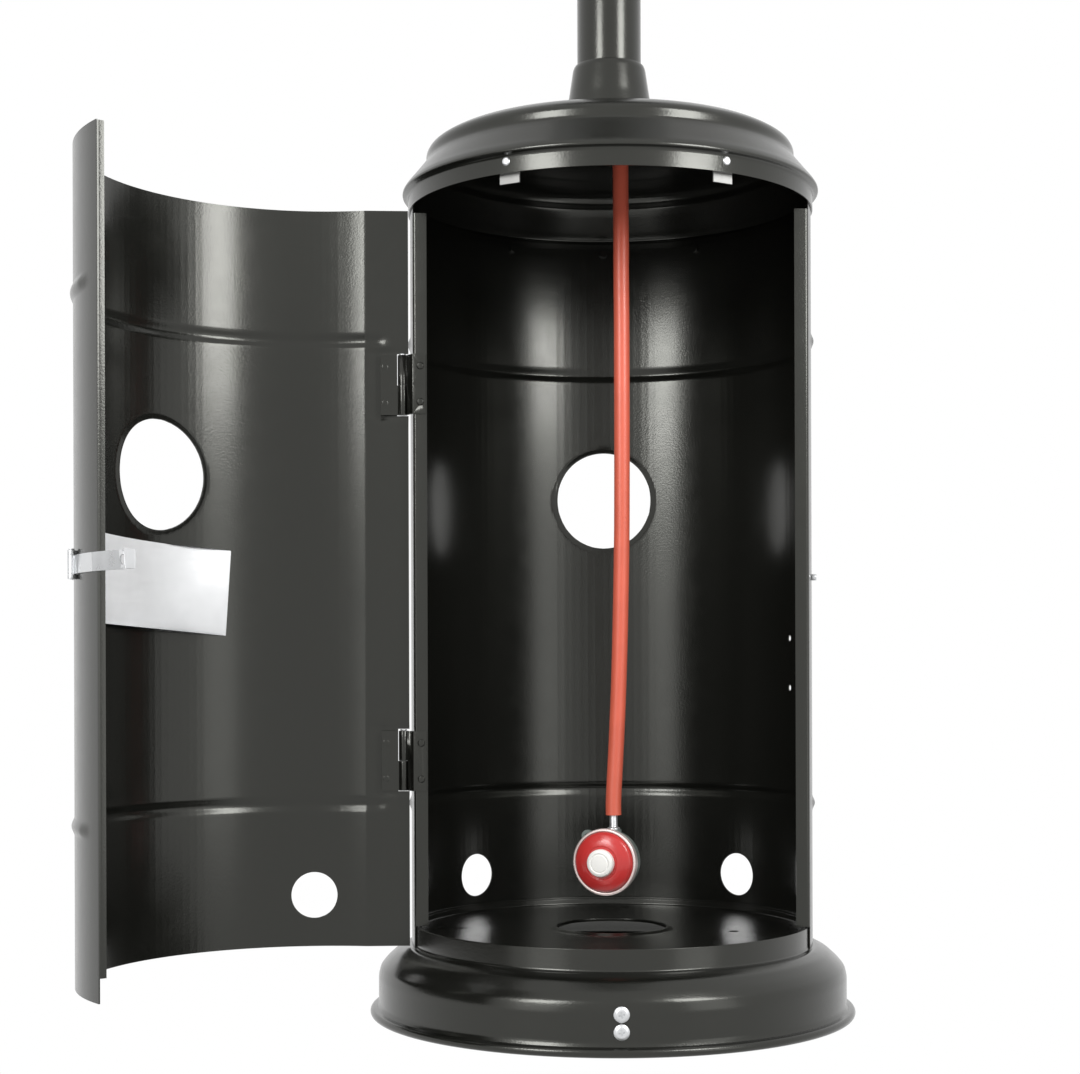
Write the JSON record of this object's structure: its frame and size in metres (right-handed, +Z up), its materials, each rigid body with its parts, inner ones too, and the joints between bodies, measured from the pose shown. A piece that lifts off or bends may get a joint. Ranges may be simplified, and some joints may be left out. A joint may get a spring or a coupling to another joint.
{
  "type": "gas patio heater",
  "caption": "Free-standing outdoor gas heater: round cylinder housing with a hinged door on a spun base, a post, a burner head and a wide round reflector.",
  "frame": {"origin": "centre of the base on the ground", "axes": "+Z up along the post, front and doorway towards -Y, +X to the right seen from the front"},
  "size_m": [0.8627, 0.812, 2.2075],
  "materials": {
    "black_coat": "satin black powder coat with a fine orange peel",
    "zinc": "bright zinc plate",
    "ballast": "rough cast",
    "bracket_steel": "plain steel",
    "plate": "satin silver foil",
    "stainless": "brushed stainless",
    "hose_rubber": "smooth orange-red rubber",
    "black_rubber": "moulded",
    "regulator_die": "dark die casting",
    "regulator_red": "gloss red",
    "regulator_ring": "rolled rim",
    "cream_plastic": "cream moulding",
    "black_plastic": "moulded",
    "red_plastic": "moulded",
    "brass": "turned",
    "copper": "drawn tube",
    "reflector_sheet": "spun, brushed"
  },
  "bodies": {
    "housing": {"base_cover": "black_coat", "ballast_ring": "ballast", "floor_pan": "black_coat", "ballast_bracket": "bracket_steel", "skirt_screws": "zinc", "rear_shell": "black_coat", "shell_screws": "zinc", "dome": "black_coat", "dome_screws": "black_coat", "lip_tabs": "zinc", "tab_rivets": "zinc", "hinge_fixed_leaves": "black_coat", "hinge_fixed_rivets": "black_coat", "keeper_stud": "zinc", "post_foot": "bracket_steel", "post_foot_bolts": "zinc", "post_cover": "black_coat", "post_tube": "black_coat", "hose_grommet": "black_rubber", "gas_pipe": "copper", "gas_hose": "hose_rubber", "hose_ferrule": "zinc", "regulator_nipple": "zinc", "regulator_body": "regulator_die", "regulator_rim": "regulator_ring", "regulator_cover": "regulator_red", "regulator_cap": "cream_plastic", "head_cup": "black_coat", "head_can": "black_coat", "head_lid": "stainless", "head_screws": "zinc", "gas_valve": "brass", "knob_bezel": "zinc", "igniter_box": "black_plastic", "tilt_switch": "black_plastic", "valve_pipe": "brass", "burner_tube": "stainless", "burner_plate": "stainless", "pilot_burner": "brass", "screen_cylinder": "stainless", "screen_cap": "stainless", "reflector_studs": "zinc", "reflector_spacers": "zinc", "reflector": "reflector_sheet", "wing_nuts": "zinc"},
    "door": {"door_shell": "black_coat", "hinge_door_leaves": "black_coat", "hinge_door_rivets": "black_coat", "hinge_pins": "zinc", "door_plate": "plate", "latch_bracket": "zinc", "latch_pin": "zinc"},
    "latch": {"latch_strap": "zinc"},
    "inlet_nut": {"regulator_nut": "black_plastic"},
    "spindle": {"valve_spindle": "zinc"},
    "knob": {"control_knob": "black_plastic"},
    "button": {"igniter_button": "red_plastic"}
  },
  "joints": [
    {"name": "door_swing", "type": "hinge", "parent": "housing", "child": "door", "pos_m": [-0.196, -0.03499, 0.4], "axis": [0, 0, 1], "range_deg": [-45, 120]},
    {"name": "latch_swing", "type": "hinge", "parent": "door", "child": "latch", "pos_m": [-0.44339, -0.29667, 0.412], "axis": [0, 0, -1], "range_deg": [0, 120]},
    {"name": "inlet_nut_turn", "type": "hinge", "parent": "housing", "child": "inlet_nut", "pos_m": [0.00794, 0.03152, 0.142], "axis": [0.3746, 0.9272, 0], "continuous": true},
    {"name": "knob_push", "type": "slide", "parent": "housing", "child": "spindle", "axis": [0, 1, 0], "range_m": [0, 0.004], "stiffness_N_per_m": 900},
    {"name": "knob_turn", "type": "hinge", "parent": "spindle", "child": "knob", "pos_m": [0, -0.12, 1.79], "axis": [0, 1, 0], "range_deg": [0, 210]},
    {"name": "igniter_press", "type": "slide", "parent": "housing", "child": "button", "axis": [-0.7431, 0.6691, 0], "range_m": [0, 0.006], "stiffness_N_per_m": 800}
  ]
}
